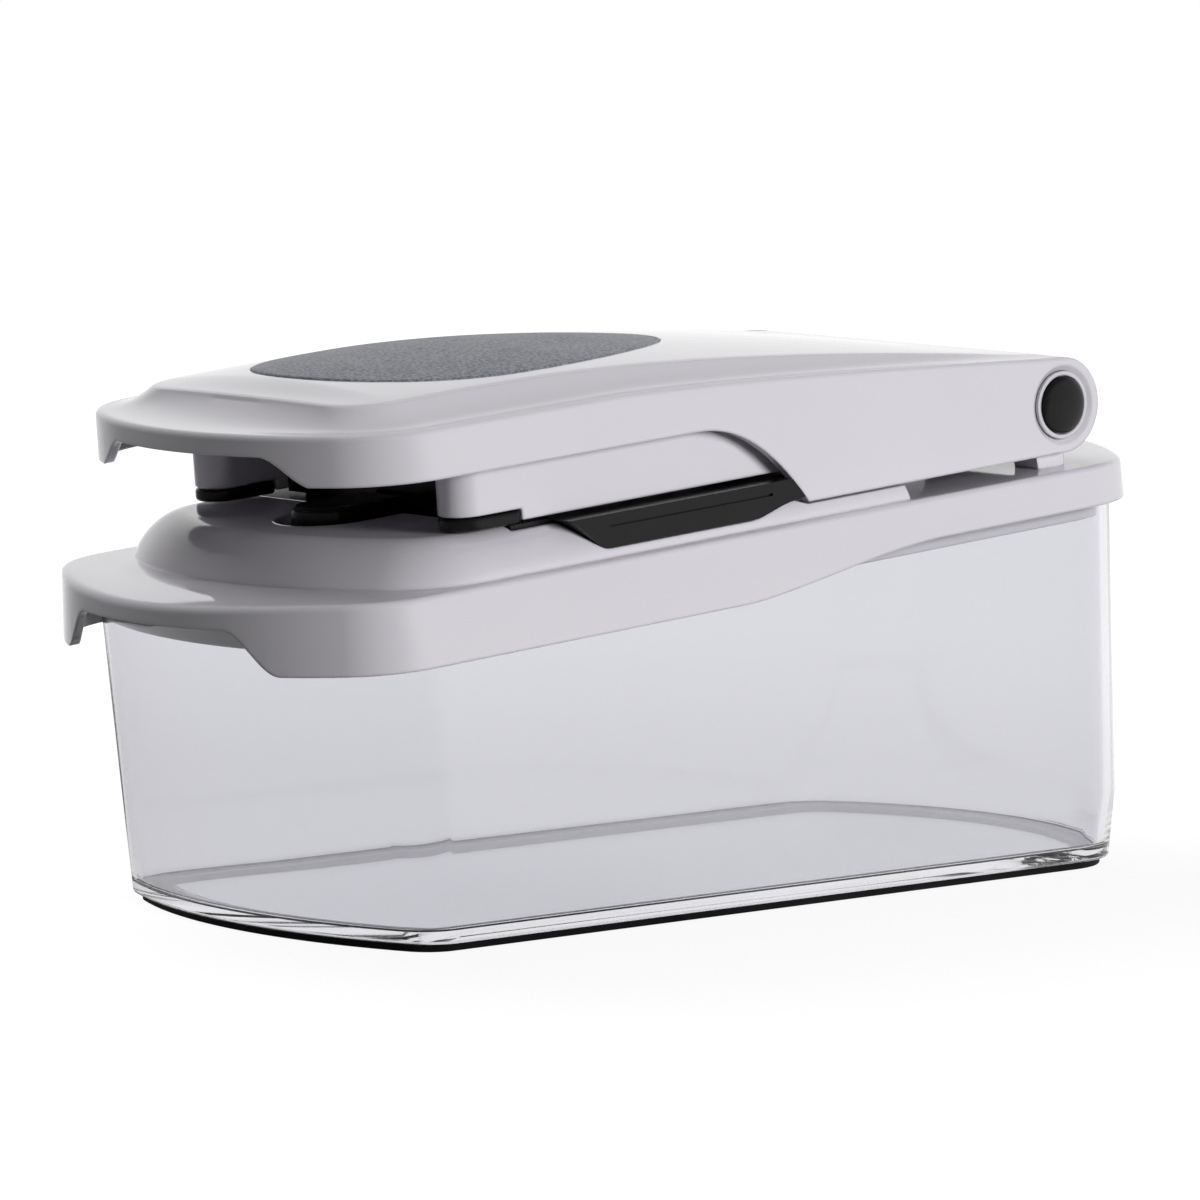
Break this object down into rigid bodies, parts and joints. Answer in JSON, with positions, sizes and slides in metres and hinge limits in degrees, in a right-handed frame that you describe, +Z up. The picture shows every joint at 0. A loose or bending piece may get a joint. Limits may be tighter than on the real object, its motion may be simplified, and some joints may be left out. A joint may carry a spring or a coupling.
{
  "type": "vegetable chopper",
  "caption": "Press-type vegetable chopper: a hinged arm pushes food through a blade grid in a sloping lift-off lid into a clear container.",
  "frame": {"origin": "bottom centre of the whole object's bounding box, on the table under the foot ring", "axes": "+X towards the hinge at the rear, -X towards the lifting lips in front, +Y across the width, +Z up"},
  "size_m": [0.2698, 0.1222, 0.13],
  "materials": {
    "white_plastic": "glossy",
    "clear_plastic": "clear, polished",
    "black_plastic": "satin",
    "dark_rubber": "matt",
    "grey_soft_touch": "matt, finely grained",
    "stainless_steel": "bright"
  },
  "bodies": {
    "container": {"container": "clear_plastic", "foot_ring": "dark_rubber"},
    "lid": {"lid_frame": "white_plastic", "blade_frame": "black_plastic", "long_blade_1": "stainless_steel", "long_blade_2": "stainless_steel", "long_blade_3": "stainless_steel", "long_blade_4": "stainless_steel", "long_blade_5": "stainless_steel", "cross_blade_1": "stainless_steel", "cross_blade_2": "stainless_steel", "cross_blade_3": "stainless_steel", "cross_blade_4": "stainless_steel"},
    "press_arm": {"arm_shell": "white_plastic", "grip_pad": "grey_soft_touch", "hinge_bush_near": "white_plastic", "hinge_bush_far": "white_plastic", "hinge_pin_near": "stainless_steel", "hinge_pin_far": "stainless_steel", "hinge_cap_near": "black_plastic", "hinge_cap_far": "black_plastic", "pusher_block": "white_plastic", "pusher_foot_near": "black_plastic", "pusher_foot_far": "black_plastic", "pusher_pegs": "white_plastic", "cleaning_comb": "black_plastic"}
  },
  "joints": [
    {"name": "lid_lift", "type": "slide", "parent": "container", "child": "lid", "axis": [-0.0811, 0, 0.9967], "range_m": [0, 0.05]},
    {"name": "press_arm", "type": "hinge", "parent": "lid", "child": "press_arm", "pos_m": [0.0956, 0, 0.11107], "axis": [0, 1, 0], "range_deg": [0, 95]}
  ]
}
